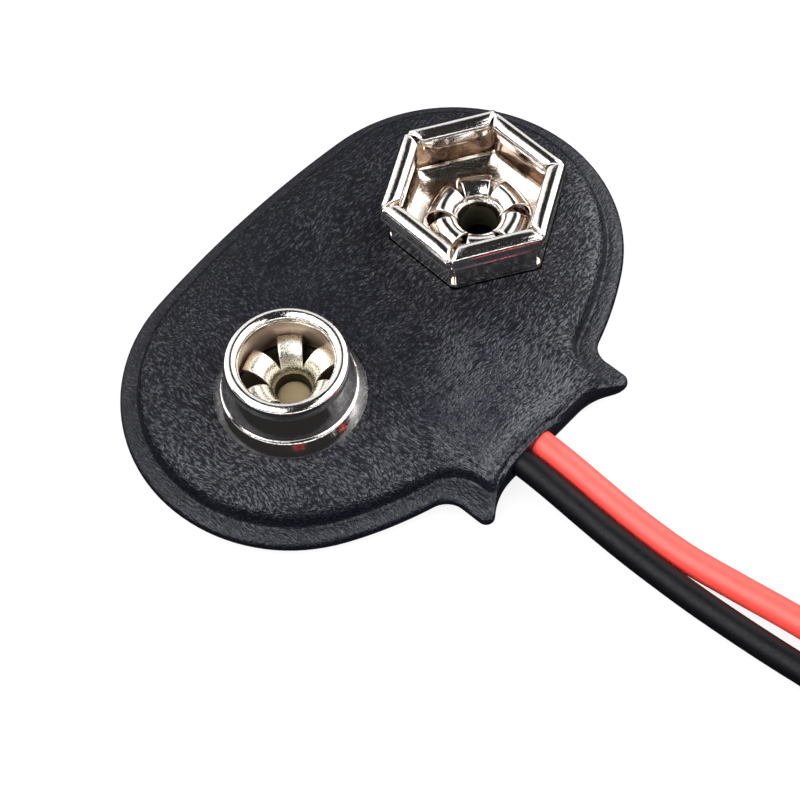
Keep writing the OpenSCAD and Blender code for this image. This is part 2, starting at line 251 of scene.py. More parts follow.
def remap(tree, value, fromMin, fromMax, toMin=0.0, toMax=1.0):
    values = {"Value": value, "From Min": fromMin, "From Max": fromMax, "To Min": toMin, "To Max": toMax}
    return addNode(tree, "ShaderNodeMapRange", values, interpolation_type="SMOOTHSTEP").outputs[0]


# leads: straight runs as in the part's source, then a coil outside the view
lead = {
    "thick": 1.3,
    "free": 145,  # mouth to the end of the tinned tip
    "tip": 5,
    "mouthY": -9.85,
    "coilMiddle": (7.22, -34),
    "coilR": 7.77,
    "coilLift": 0.25,
    "stepFrom": 0.72,  # share of a turn where it starts to climb a layer
    "stepTo": 0.85,
    "turnPoints": 28,
    "join": 2.0,  # from a run's last point to the coil's first
}
blackRun = [
    (-1.65, -7.6, 1.25), (-1.65, -8.7, 1.25), (-1.65, -9.8, 1.25), (-1.65, -11, 1.2),
    (-1.65, -12.2, 1.05), (-1.66, -13.5, 0.87), (-1.68, -15, 0.72), (-1.7, -16.5, 0.66),
    (-1.7, -18, 0.65), (-1.68, -19.5, 0.65), (-1.62, -21, 0.65), (-1.53, -22.5, 0.65),
    (-1.4, -24.3, 0.67), (-1.3, -26, 0.8), (-1.25, -28, 0.9), (-1.22, -30, 0.9), (-1.2, -32, 0.9),
]
redRun = [
    (-0.35, -7.6, 1.25), (-0.35, -8.7, 1.25), (-0.35, -9.8, 1.25), (-0.35, -11, 1.2),
    (-0.35, -12.2, 1.05), (-0.36, -13.5, 0.87), (-0.38, -15, 0.72), (-0.38, -16.5, 0.66),
    (-0.34, -18, 0.65), (-0.22, -19.2, 0.65), (-0.05, -20.4, 0.65), (0.12, -21.6, 0.65),
    (0.33, -23, 0.65), (0.5, -24.5, 0.68), (0.58, -26, 0.8), (0.52, -28, 0.9),
    (0.35, -30, 0.9), (0.18, -32, 0.9),
]


def coilPoint(r, t):
    turn = math.pi + math.tau * t
    share = t % 1
    layer = int(t) + ease((share - lead["stepFrom"]) / (lead["stepTo"] - lead["stepFrom"]))
    x, y = lead["coilMiddle"]
    return (
        x + r * math.cos(turn),
        y + r * math.sin(turn),
        lead["coilLift"] + lead["thick"] * (0.5 + layer),
    )


def leadLine(run, r):
    straight = sum(math.dist(a, b) for a, b in zip(run, run[1:])) + lead["join"]
    inside = run[0][1] - lead["mouthY"]
    turns = (lead["free"] - lead["tip"] - straight + inside) / (math.tau * r)
    count = round(turns * lead["turnPoints"])
    points = list(run) + [coilPoint(r, turns * i / count) for i in range(count + 1)]
    end, before = coilPoint(r, turns), coilPoint(r, turns - 0.001)
    heading = (Vector(end) - Vector(before)).normalized()
    return [(x, y + contactY, z) for x, y, z in points], Vector(end) + Vector((0, contactY, 0)), heading


def leadCurve(name, points):
    curve = bpy.data.curves.new(name, "CURVE")
    curve.dimensions = "3D"
    curve.bevel_depth = 1.0  # times each knot's radius
    curve.bevel_resolution = 6
    curve.resolution_u = 6
    curve.use_fill_caps = True
    spline = curve.splines.new("BEZIER")
    spline.bezier_points.add(len(points) - 1)
    for knot, p in zip(spline.bezier_points, points):
        knot.co = [v * mm for v in p]
        knot.radius = lead["thick"] / 2 * mm
        knot.handle_left_type = knot.handle_right_type = "AUTO"
    obj = bpy.data.objects.new(name, curve)
    scene.collection.objects.link(obj)
    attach(obj, "root")
    return obj


blackPoints, blackEnd, blackHeading = leadLine(blackRun, lead["coilR"] + lead["thick"] / 2)
redPoints, redEnd, redHeading = leadLine(redRun, lead["coilR"] - lead["thick"] / 2)
blackLead = leadCurve("blackLead", blackPoints)
redLead = leadCurve("redLead", redPoints)
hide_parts("black_lead", "lead_coil")
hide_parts("red_lead", "lead_coil")
print("leads laid,", len(blackPoints), "and", len(redPoints), "points")


# cover outline: far arc, round ends, near arc, and a tab with two horns
cover = {
    "width": 27.2,
    "endR": 8.3,
    "endY": 0.7,
    "crown": 0.3,
    "bellyDrop": 1.5,
    "tabWidth": 10.1,
    "tabOut": 1.6,
    "neckR": 1.1,
    "hornTipR": 0.4,
    "scallopR": 3.3,
    "scallopDepth": 0.85,
    "flange": 0.8,
    "hornFlat": 1.2,
    "scallopIn": 0.12,
    "panelCorner": 0.2,
    "narrowing": 0.7,  # insets over which the panel's tab narrows
    "plainFrom": 1.35,  # inset where the tab starts to fade out of the panel
    "plainOver": 2.2,
    "lift": 0.45,  # over the leads at the mouth
    "liftHalf": 3.2,
    "hood": 0.95,  # arch that the sheet makes round the leads, at the edge itself
    "hoodFoot": 1.2,
    "hoodHalf": 2.1,
    "hoodFrom": 6,  # towards the mouth, as are curlFrom and tabFrom
    "edgeLift": 0.22,  # near rim and horns curl up this much
    "edgeFade": 0.5,
    "curlFrom": 4,
    "curlOver": 6,
    "tabFrom": 9.2,
    "tabOver": 0.7,
    "tabHalf": 3.0,  # between the horns, where there is no flange
    "tabHalfFade": 0.9,
    "tabFloor": 0.72,
    "tabRise": 0.95,
    "waveScale": 0.35,
    "waveSeed": 3.7,
    "mouthX": -1.0,
    "steps": (26, 44, 26, 10, 12, 10, 10),  # far, end, near, neck, horn, scallop, edge
}
endX = cover["width"] / 2 - cover["endR"]
farTop = cover["endY"] + cover["endR"] + cover["crown"]
belly = cover["endR"] + cover["bellyDrop"] - cover["endY"]
tabReach = belly + cover["tabOut"]


def arcRadius(rise):
    return (endX**2 + 2 * cover["endR"] * rise + rise**2) / (2 * rise)


farR = arcRadius(cover["crown"])
nearR = arcRadius(cover["bellyDrop"])
farY = farTop - farR
nearY = nearR - belly
farTurn = math.atan2(cover["endY"] - farY, endX)
nearTurn = math.atan2(cover["endY"] - nearY, endX)
scallopX = cover["tabWidth"] / 2 - cover["hornTipR"] - math.sqrt(
    (cover["scallopR"] + cover["hornTipR"]) ** 2
    - (cover["hornTipR"] - cover["scallopDepth"] + cover["scallopR"]) ** 2
)
scallopY = cover["scallopDepth"] - tabReach - cover["scallopR"]


def arc(x, y, r, a, b, n, first=0):
    turns = [a + (b - a) * i / n for i in range(first, n + 1)]
    return [(x + r * math.cos(t), y + r * math.sin(t)) for t in turns]


def neckMiddle(d, half, r):
    return half + r, nearY - math.sqrt((nearR - d + r) ** 2 - (half + r) ** 2)


def ovalSide(d, last):
    far, end, near = cover["steps"][:3]
    return (
        arc(0, farY, farR - d, math.pi / 2, farTurn, far)
        + arc(endX, cover["endY"], cover["endR"] - d, farTurn, nearTurn, end, 1)
        + arc(0, nearY, nearR - d, nearTurn, last, near, 1)
    )


def tabSide(d, half, neck, edge, corner):
    neckSteps, hornSteps, scallopSteps, edgeSteps = cover["steps"][3:]
    nx, ny = neckMiddle(d, half, neck)
    r = cover["scallopR"] + edge
    cx = half - corner
    cy = scallopY + math.sqrt((r + corner) ** 2 - (cx - scallopX) ** 2)
    lean = math.atan2(cy - scallopY, cx - scallopX)
    return (
        ovalSide(d, math.atan2(ny - nearY, nx))
        + arc(nx, ny, neck, math.atan2(nearY - ny, -nx), math.pi, neckSteps, 1)
        + arc(cx, cy, corner, 0, lean - math.pi, hornSteps)
        + arc(scallopX, scallopY, r, lean, math.pi / 2, scallopSteps, 1)
        + [(scallopX * (1 - i / edgeSteps), scallopY + r) for i in range(1, edgeSteps + 1)]
    )


def plainSide(d):
    nx, ny = neckMiddle(d, cover["tabWidth"] / 2 - cover["hornFlat"], cover["neckR"])
    last = math.atan2(ny - nearY, nx)
    return ovalSide(d, last) + arc(0, nearY, nearR - d, last, -math.pi / 2, sum(cover["steps"][3:]) + 1, 1)


def between(a, b, t):
    return [(p[0] + (q[0] - p[0]) * t, p[1] + (q[1] - p[1]) * t) for p, q in zip(a, b)]


def panelSide(d):
    out = max(0.0, d - cover["flange"])
    o = min(out, cover["narrowing"])
    half = cover["tabWidth"] / 2 - cover["hornFlat"] - o / 2
    neck = cover["neckR"] + cover["flange"] + o / 2
    tab = tabSide(d, half, neck, cover["scallopIn"] + o, cover["panelCorner"])
    return between(tab, plainSide(d), ease((d - cover["plainFrom"]) / cover["plainOver"]))


def coverSide(d):
    if d < cover["flange"]:
        outline = tabSide(0, cover["tabWidth"] / 2, cover["neckR"], 0, cover["hornTipR"])
        return between(outline, panelSide(cover["flange"]), d / cover["flange"])
    return panelSide(d)


def mouthBump(x, y, half):
    if y > 0:
        return 0
    return max(0, 1 - ((x - cover["mouthX"]) / half) ** 2)


def coverRing(d, z, lift=0.0, wave=0.0, hood=0.0):
    side = coverSide(d)
    ring = side + [(-x, y) for x, y in reversed(side[1:-1])]
    edge = cover["edgeLift"] * (1 - ease((d - cover["flange"]) / cover["edgeFade"]))
    points = []
    for x, y in ring:
        tabEnd = ease((-y - cover["tabFrom"]) / cover["tabOver"])
        tabEnd *= 1 - ease((abs(x) - cover["tabHalf"]) / cover["tabHalfFade"])
        level = z
        if hood and d < 1:  # no flange between the horns
            level = z + tabEnd * (cover["tabFloor"] + cover["tabRise"] * d ** 0.8 - z)
        up = lift * cover["lift"] * mouthBump(x, y, cover["liftHalf"]) ** 2
        up += edge * ease((-y - cover["curlFrom"]) / cover["curlOver"])
        up += wave * noise.noise(Vector((x * cover["waveScale"], y * cover["waveScale"], cover["waveSeed"])))
        if y < -cover["hoodFrom"]:
            arch = cover["hoodFoot"] + cover["hood"] * mouthBump(x, y, cover["hoodHalf"]) ** 0.6
            up = max(up, hood * (arch - level) * (arch > cover["hoodFoot"]))
        points.append((x, y + contactY, level + up))
    return points


# inset from the outline, height, and shares of the mouth's lift, of waviness and of the hood over the leads
coverTop = [
    (0, 0.6, 0, 0, 0), (0, 0.68, 0, 0, 0.4), (0.012, 0.79, 0, 0, 0.75), (0.04, 0.88, 0, 0, 0.9),
    (0.1, 0.95, 0, 0, 0.96), (0.2, 1.0, 0, 0.02, 0.99), (0.34, 1.04, 0, 0.02, 1), (0.5, 1.08, 0, 0.02, 1),
    (0.62, 1.1, 0, 0.02, 1), (0.72, 1.1, 0, 0, 1), (0.78, 1.115, 0, 0, 1), (0.82, 1.15, 0, 0, 1),
    (0.86, 1.24, 0.1, 0, 1), (0.9, 1.4, 0.3, 0, 1), (0.94, 1.58, 0.6, 0, 1), (1.0, 1.78, 0.8, 0, 1),
    (1.08, 1.91, 0.62, 0, 1), (1.2, 2.02, 0.5, 0.01, 1), (1.36, 2.1, 0.44, 0.015, 1),
    (1.58, 2.18, 0.42, 0.02, 1), (1.86, 2.27, 0.4, 0.03, 1), (2.2, 2.36, 0.36, 0.04, 0),
    (2.6, 2.45, 0.3, 0.05, 0), (3.05, 2.53, 0.22, 0.05, 0), (3.55, 2.59, 0.13, 0.05, 0),
    (4.1, 2.63, 0.07, 0.05, 0), (4.7, 2.66, 0.03, 0.05, 0), (5.4, 2.68, 0, 0.05, 0),
    (6.2, 2.7, 0, 0.05, 0), (7.0, 2.71, 0, 0.05, 0), (7.6, 2.71, 0, 0.05, 0), (7.9, 2.71, 0, 0.05, 0),
]
coverUnder = [
    (7.9, 2.1), (5.5, 2.1), (3.1, 2.1), (2.6, 1.98, 0.2), (2.1, 1.8, 0.5), (1.75, 1.6, 1), (1.5, 1.35, 1),
    (1.35, 0.95, 0.4), (1.3, 0.6),
]


# holes cut through the cover for the contacts and the leads
holes = {
    "studR": 3.56,
    "socketR": 4.26,  # to a corner
    "depth": 6,
    "middleZ": 3.6,
    "leadR": 0.68,
    "leadDepth": 7,
    "leadY": -9.9,
}


def cylinderAt(sides, r, depth, place, turn=(0, 0, 0)):
    clearSelection()
    bpy.ops.mesh.primitive_cylinder_add(
        vertices=sides, radius=r, depth=depth, location=place, rotation=[math.radians(a) for a in turn]
    )
    return bpy.context.object


def buildTopCover(finishes):
    obj = loft([coverRing(*line) for line in coverUnder + coverTop])
    studPlace = (studX, contactY, holes["middleZ"])
    socketPlace = (socketX, contactY, holes["middleZ"])
    cutters = [
        cylinderAt(96, holes["studR"], holes["depth"], studPlace),
        cylinderAt(6, holes["socketR"], holes["depth"], socketPlace, (0, 0, socket["turn"] - 90)),
    ]
    for run in (blackRun, redRun):
        place = (run[0][0], contactY + holes["leadY"], run[0][2])
        cutters.append(cylinderAt(40, holes["leadR"], holes["leadDepth"], place, (90, 0, 0)))
    cutWith(obj, cutters)
    return settle(obj, "topCover", finishes, ["top_cover"], angle=50)


coverBack = [
    (7.9, 0), (5, 0), (2.4, 0), (1.5, 0.005), (1.2, 0.03), (1.02, 0.08), (0.9, 0.15), (0.78, 0.19),
    (0.6, 0.2), (0.4, 0.21), (0.25, 0.25), (0.12, 0.33), (0.04, 0.44), (0, 0.56), (0, 0.595),
    (0.05, 0.598), (1.2, 0.598), (4, 0.598), (7.9, 0.598),
]


def buildBackCover(finishes):
    obj = loft([coverRing(*line) for line in coverBack])
    return settle(obj, "backCover", finishes, ["back_cover"], angle=50)


# stud: radius and height round its section, from the floor's underside outwards
studLine = [
    (1.02, 2.1), (3.42, 2.1), (3.5, 2.14), (3.54, 2.26), (3.55, 2.5), (3.55, 2.68), (3.53, 2.76),
    (3.33, 3.1), (3.21, 3.3), (3.195, 3.325), (3.14, 3.392), (3.1, 3.42), (3.07, 3.45), (3.05, 3.5),
    (3.03, 3.6), (2.92, 3.95), (2.8, 4.31), (2.71, 4.55), (2.68, 4.63), (2.685, 4.66), (2.71, 4.685),
    (2.72, 4.715), (2.7, 4.74), (2.66, 4.76),
]
studInside = [
    (2.19, 4.66), (2.22, 4.4), (2.29, 4.0), (2.37, 3.6), (2.45, 3.2), (2.5, 2.95), (2.49, 2.8), (2.42, 2.69),
    (2.3, 2.63), (2.1, 2.6), (1.6, 2.6), (1.02, 2.6),
]
studLip = {
    "r": 2.52,
    "z": 4.91,
    "roll": 0.34,
    "land": 0.25,  # upright stretch on the lip's outer side
    "under": 72,  # degrees that the roll runs below its middle
    "over": 195,
    "inner": (2.19, 4.86),
}
studCup = {
    "floor": 2.3,
    "brim": 4.72,
    "brimR": 2.15,
    "flare": 0.3,  # growth of the radius with depth
    "neck": (4.6, 5.1),
    "neckR": 2.2,
    "shade": 2.75,  # below this the cup floor is painted near black, as painted shade
}


def insideStud(r, z):
    if studCup["floor"] < z < studCup["brim"]:
        if r < studCup["brimR"] + (studCup["brim"] - z) * studCup["flare"]:
            return True
    return studCup["neck"][0] < z < studCup["neck"][1] and r < studCup["neckR"]


def buildStud(finishes):
    roll, middleR, middleZ = studLip["roll"], studLip["r"], studLip["z"]
    lip = []
    for i in range(9):  # under and outer side of the rolled lip
        a = math.radians(studLip["under"] * (i / 8 - 1))
        lip.append((middleR + roll * math.cos(a), middleZ + roll * math.sin(a)))
    for i in range(1, 19):
        a = math.radians(studLip["over"] * i / 18)
        lip.append((middleR + roll * math.cos(a), middleZ + studLip["land"] + roll * math.sin(a)))
    lip.append(studLip["inner"])
    rings = [circleRing(r, z, 96, (studX, contactY)) for r, z in studLine + lip + studInside]
    obj = loft(rings, cap=False)
    settle(obj, "studContact", finishes, ["stud_contact"], angle=40)
    for face in obj.data.polygons:  # duller plating inside the cup, with painted shade: darker and browner, near black on the floor
        x, y, z = face.center / mm
        if insideStud(math.hypot(x - studX, y - contactY), z):
            face.material_index = 2 if z < studCup["shade"] else 1
    return obj


# socket: six leaves with flattened beads on a drawn cup
socket = {
    "turn": 27.5,  # degrees from X to a corner
    "wallIn": 3.34,
    "wallOut": 3.64,
    "beadX": 3.49,
    "beadZ": 5.03,
    "gap": 0.1,
    "slit": 0.12,
    "crown": 7,  # degrees, either side of a bead's top
    "topHalf": 0.13,
    "edgeR": 0.36,
    "beadTop": 0.48,  # heights over the middle of a bead
    "beadFoot": -0.39,
    "beadSide": 0.05,
    "shorten": 0.2,  # off a bead's middle rings
    "plateZ": 3.76,
    "plateHalf": 0.98,
    "hingeZ": 2.9,
    "inside": (2.35, 4.72),  # heights of the inner faces
    "cupTop": 3.0,
    "reach": 4.1,
    "lean": (-3, 0, 1, 3, 0, -1),  # degrees outwards, each leaf's own set
}


# each end of a bead: share of its section, and how far back from the end
beadEnds = [(0.62, 0.0), (0.78, 0.02), (0.9, 0.06), (0.97, 0.12), (1, 0.2)]
# outer flap of a bead, out from its side and up from its middle
flap = [(0, 0.05), (0, -0.2), (0.01, -0.29), (0.03, -0.33), (0.035, -0.36), (0.02, -0.385), (-0.04, -0.39)]
# spring dent on the inner face of a leaf
dent = {"half": 1.15, "z": 4.2, "high": 0.3, "deep": 0.16}


def beadSection():
    # crowned top, round edges, an outer flap with a small lip at its foot
    crown = math.radians(socket["crown"])
    top, r = socket["topHalf"], socket["edgeR"]
    big = top / math.sin(crown)
    points = []
    for i in range(9):
        a = crown * (i / 4 - 1)
        points.append((big * math.sin(a), socket["beadTop"] - big * (1 - math.cos(a))))
    cx, cz = top - r * math.sin(crown), points[-1][1] - r * math.cos(crown)
    for i in range(1, 10):
        a = crown + (math.pi / 2 - crown) * i / 9
        points.append((cx + r * math.sin(a), cz + r * math.cos(a)))
    side = cx + r
    foot, low = socket["beadFoot"], socket["beadSide"]
    points += [(side + u, w) for u, w in flap]
    points += [(0.15, foot), (low - side, foot), (-side, foot + low), (-side, low)]
    for i in range(9):
        a = math.pi / 2 - (math.pi / 2 - crown) * i / 9
        points.append((-cx - r * math.sin(a), cz + r * math.cos(a)))
    return points


def hexRing(apothem, corner, z):
    # hexagon with rounded corners, flats facing X before it is turned
    points = []
    for k in range(6):
        a = math.radians(30 + 60 * k)
        reach = (apothem - corner) / math.cos(math.radians(30))
        cx, cy = reach * math.cos(a), reach * math.sin(a)
        for i in range(9):
            t = a + math.radians(-30 + 60 * i / 8)
            points.append((cx + corner * math.cos(t), cy + corner * math.sin(t), z))
        half = (apothem - corner) * math.tan(math.radians(30))
        b = math.radians(60 + 60 * k)
        for i in range(1, 8):
            s = half * (1 - 2 * i / 8)
            x = apothem * math.cos(b) + s * math.sin(b)
            y = apothem * math.sin(b) - s * math.cos(b)
            points.append((x, y, z))
    return points


def roundRing(r, z):
    return [(r * x / math.hypot(x, y), r * y / math.hypot(x, y), z) for x, y, _ in hexRing(3, 1, 0)]


def buildLeaf():
    tan30 = math.tan(math.radians(30))
    rings = []
    section = beadSection()
    for side in (-1, 1):
        steps = beadEnds if side < 0 else list(reversed(beadEnds))
        for size, back in steps:
            ring = []
            for u, w in section:
                x = socket["beadX"] + u * size
                y = side * ((socket["beadX"] + u) * tan30 - socket["gap"] / 2 - back)
                ring.append((x, y, socket["beadZ"] + w * size))
            rings.append(ring)
        if side < 0:
            for share in (-0.6, -0.2, 0.2, 0.6):
                ring = []
                for u, w in section:
                    x = socket["beadX"] + u
                    ring.append((x, share * (x * tan30 - socket["shorten"]), socket["beadZ"] + w))
                rings.append(ring)
    bead = loft(rings)
    clearSelection()
    bpy.ops.mesh.primitive_grid_add(x_subdivisions=44, y_subdivisions=28, size=2)
    plate = bpy.context.object
    half = socket["beadX"] * tan30 - socket["slit"] / 2
    middle = (socket["wallIn"] + socket["wallOut"]) / 2
    for v in plate.data.vertices:
        v.co = (middle, v.co.x * half, socket["plateZ"] + v.co.y * socket["plateHalf"])
    thicken(plate, socket["wallOut"] - socket["wallIn"])
    for v in plate.data.vertices:
        if v.co.x < middle:
            q = (v.co.y / dent["half"]) ** 2 + ((v.co.z - dent["z"]) / dent["high"]) ** 2
            v.co.x -= dent["deep"] * max(0, 1 - q) ** 0.7
    return joinPieces([bead, plate])


def buildSocket(finishes):
    rings = [
        roundRing(1.02, 2.1), roundRing(2.2, 2.1), hexRing(3.1, 1.2, 2.1), hexRing(3.42, 0.8, 2.14),
        hexRing(3.57, 0.55, 2.26), hexRing(3.62, 0.42, 2.45), hexRing(3.64, 0.36, 2.7),
        hexRing(3.64, 0.34, 2.94), hexRing(3.62, 0.32, 2.98), hexRing(3.38, 0.2, 2.98),
        hexRing(3.35, 0.2, 2.95), hexRing(3.32, 0.24, 2.86), hexRing(3.22, 0.34, 2.74),
        hexRing(3.05, 0.55, 2.62), hexRing(2.8, 0.85, 2.52), hexRing(2.5, 1.2, 2.45),
        roundRing(2.2, 2.41), roundRing(1.8, 2.4), roundRing(1.02, 2.4),
    ]
    pieces = [loft(rings, cap=False)]
    leaf = buildLeaf()
    hinge = Matrix.Translation((socket["beadX"], 0, socket["hingeZ"]))
    for k, lean in enumerate(socket["lean"]):
        tilt = hinge @ Matrix.Rotation(math.radians(lean), 4, "Y") @ hinge.inverted()
        pieces.append(placedCopy(leaf, Matrix.Rotation(math.radians(60 * k), 4, "Z") @ tilt))
    bpy.data.objects.remove(leaf)
    obj = joinPieces(pieces)
    turn = Matrix.Rotation(math.radians(socket["turn"] - 30), 4, "Z")
    obj.data.transform(Matrix.Translation((socketX, contactY, 0)) @ turn)
    settle(obj, "socketContact", finishes, ["socket_contact"], angle=40)
    low, high = socket["inside"]
    for face in obj.data.polygons:  # painted shade: inner faces darker and browner, the walls darker than the floor
        x, y, z = face.center / mm
        x, y = x - socketX, y - contactY
        outward = face.normal.x * x + face.normal.y * y
        if low < z < high and outward < 0.001 and math.hypot(x, y) < socket["reach"]:
            face.material_index = 1 if z < socket["cupTop"] else 2
    return obj


# split eyelets: tube, head under the board, six petals that open like a trumpet
eyelet = {
    "tubeR": 1.0,
    "wall": 0.18,
    "turn": 46,  # degrees, first petal
    "start": 188,  # degrees, where a petal leaves the tube
    "bow": 0.7,
    "droop": 0.09,  # of a petal's corners
    # inside this radius and up to this height the bore and the petals' feet are painted in shade
    "boreShadeR": 1.06,
    "boreShadeUp": 0.32,
}
petals = {
    "stud": {
        "floor": 2.55, "out": 0.95, "up": 1.3, "last": 74, "base": 1.0, "tip": 1.16, "shift": (0.1, -0.1),
    },
    "socket": {
        "floor": 2.32, "out": 0.7, "up": 0.95, "last": -8, "base": 0.96, "tip": 1.8, "shift": (0.0, -0.24),
    },
}


def buildPetal(shape):
    clearSelection()
    bpy.ops.mesh.primitive_grid_add(x_subdivisions=8, y_subdivisions=18, size=2)
    obj = bpy.context.object
    for v in obj.data.vertices:
        s = (v.co.y + 1) / 2
        a = math.radians(eyelet["start"] + (shape["last"] - eyelet["start"]) * s)
        wide = shape["base"] + (shape["tip"] - shape["base"]) * ease(s)
        y = v.co.x * wide / 2
        r = eyelet["tubeR"] + shape["out"] + (shape["out"] + eyelet["wall"] / 2) * math.cos(a)
        z = shape["floor"] + (shape["up"] + eyelet["wall"] / 2) * math.sin(a)
        bow = 1 - eyelet["bow"] * s  # follows the tube at its foot, flatter at its tip
        x = r - bow * (r - math.sqrt(max(0.05, r * r - y * y)))
        z -= eyelet["droop"] * ease((s - 0.75) / 0.25) * abs(v.co.x) ** 3
        v.co = (x, y, z)
    thicken(obj, eyelet["wall"] * 0.9)
    return obj


def buildEyelet(name, x, shape, finishes, node):
    top = shape["floor"]
    line = [
        (0.82, 1.13), (1.86, 1.13), (1.9, 1.17), (1.9, 1.28), (1.86, 1.3), (1.0, 1.3), (1.0, top),
        (0.99, top + 0.1), (0.95, top + 0.16), (0.9, top + 0.17), (0.85, top + 0.14), (0.82, top + 0.06),
        (0.815, top - 0.1),
    ]
    pieces = [loft([circleRing(r, z, 64, (0, 0)) for r, z in line], cap=False)]
    petal = buildPetal(shape)
    for k in range(6):
        pieces.append(placedCopy(petal, Matrix.Rotation(math.radians(eyelet["turn"] + 60 * k), 4, "Z")))
    bpy.data.objects.remove(petal)
    obj = joinPieces(pieces)
    middleX, middleY = x + shape["shift"][0], contactY + shape["shift"][1]
    obj.data.transform(Matrix.Translation((middleX, middleY, 0)))
    settle(obj, name, finishes, [node], angle=45)
    for face in obj.data.polygons:  # painted shade in the bore and on the petals' feet
        faceX, faceY, faceZ = face.center / mm
        if math.hypot(faceX - middleX, faceY - middleY) < eyelet["boreShadeR"] and faceZ < top + eyelet["boreShadeUp"]:
            face.material_index = 1
    return obj


def buildSolder(finishes):
    line = [
        (0.05, 0.62), (1.0, 0.62), (1.15, 0.7), (1.2, 0.85), (1.18, 1.05), (1.1, 1.11), (0.8, 1.12),
        (0.8, 2.2), (0.76, 2.25), (0.66, 2.27), (0.4, 2.28), (0.05, 2.285),
    ]
    dx, dy = petals["stud"]["shift"]
    obj = loft([circleRing(r, z, 48, (studX + dx, contactY + dy)) for r, z in line])
    return settle(obj, "studSolder", finishes, ["stud_solder"], angle=50)


# band that holds the coil, with its ends twisted together
tie = {
    "turn": 215,  # degrees round the coil
    "wide": 2.0,
    "thick": 0.25,
    "gap": 0.15,
    "corner": 0.3,
    "tail": 4.0,
    "tailWide": 0.85,
    "tailThick": 0.3,
    "tailIn": 0.05,  # overlap with the band
    "twist": 810,
    "soft": 0.04,
}


def buildTie(finishes):
    half = lead["thick"] + tie["gap"] + tie["thick"] / 2
    high = 3 * lead["thick"] + tie["gap"] + 2 * tie["thick"]
    right = half - tie["corner"]
    low = tie["thick"] / 2 + tie["corner"]
    corners = ((right, high - low, 0), (-right, high - low, 90), (-right, low, 180), (right, low, 270))
    path = []
    for cx, cz, start in corners:
        for i in range(7):
            a = math.radians(start + 15 * i)
            path.append((cx + tie["corner"] * math.cos(a), cz + tie["corner"] * math.sin(a)))
    rings = []
    for lift, wide in ((-0.5, 1), (-0.5, -1), (0.5, -1), (0.5, 1)):
        ring = []
        for i, (x, z) in enumerate(path):
            a, b = path[i - 1], path[(i + 1) % len(path)]
            out = Vector((b[1] - a[1], a[0] - b[0])).normalized() * lift * tie["thick"]
            ring.append((x + out.x, wide * tie["wide"] / 2, z + out.y))
        rings.append(ring)
    band = loft(rings, cap=False)
    clearSelection()
    bpy.ops.mesh.primitive_cube_add(size=1)
    tail = bpy.context.object
    tail.data.transform(Matrix.Diagonal((tie["tail"], tie["tailWide"], tie["tailThick"], 1)))
    bpy.ops.object.mode_set(mode="EDIT")
    bpy.ops.mesh.select_all(action="SELECT")
    bpy.ops.mesh.subdivide(number_cuts=24)
    bpy.ops.object.mode_set(mode="OBJECT")
    twistAlong(tail, "X", tie["twist"])
    tailX = half + tie["thick"] / 2 + tie["tail"] / 2 - tie["tailIn"]
    tail.data.transform(Matrix.Translation((tailX, 0, high / 2)))
    soft = band.modifiers.new("soft", "BEVEL")
    soft.width = tie["soft"]
    soft.segments = 2
    applyModifiers(band)
    obj = joinPieces([band, tail])
    x, y = lead["coilMiddle"]
    obj.data.transform(
        Matrix.Translation((x, y + contactY, 0))
        @ Matrix.Rotation(math.radians(tie["turn"]), 4, "Z")
        @ Matrix.Translation((lead["coilR"], 0, 0))
    )
    return settle(obj, "coilTie", finishes, ["coil_tie"], angle=40)


# tinned ends: six strands twisted round a seventh
strand = {"r": 0.077, "apart": 0.153, "twist": 420}


def buildTip(name, end, heading, finishes, node):
    wires = []
    for k in range(7):
        wire = cylinderAt(12, strand["r"], lead["tip"], (0, 0, 0))
        bpy.ops.object.mode_set(mode="EDIT")
        mesh = bmesh.from_edit_mesh(wire.data)
        for e in mesh.edges:
            e.select = abs(e.verts[0].co.z - e.verts[1].co.z) > 1
        bmesh.update_edit_mesh(wire.data)
        bpy.ops.mesh.subdivide(number_cuts=30)
        bpy.ops.object.mode_set(mode="OBJECT")
        if k:
            out = Matrix.Rotation(math.radians(60 * k), 3, "Z") @ Vector((strand["apart"], 0, 0))
            wire.data.transform(Matrix.Translation(out))
        wires.append(wire)
    obj = joinPieces(wires)
    twistAlong(obj, "Z", strand["twist"])
    turn = heading.to_track_quat("Z", "Y").to_matrix().to_4x4()
    obj.data.transform(Matrix.Translation(end + heading * lead["tip"] / 2) @ turn)
    return settle(obj, name, finishes, [node], angle=40)


# light and floor
studio = {
    "shadow": 0.16,
    "floor": (0.93, 0.93, 0.95),
    "far": (0.694, 0.720, 0.0),  # level direction away from the camera
    "right": (0.720, -0.694, 0.0),
    "backdrop": 1.0,
    "lowSides": 1.8,
    "boxes": 1.2,
    "front": 5.0,
    "key": 5.0,
    "sill": 2.5,  # thin lit band low in front
    "red": 0.35,
    "redWay": (-0.632, -0.772, 0.06),  # a small red light low in front, seen in the stud's skirt
    "redColor": (1, 0.01, 0.03, 1),
    "dim": 0.025,
}


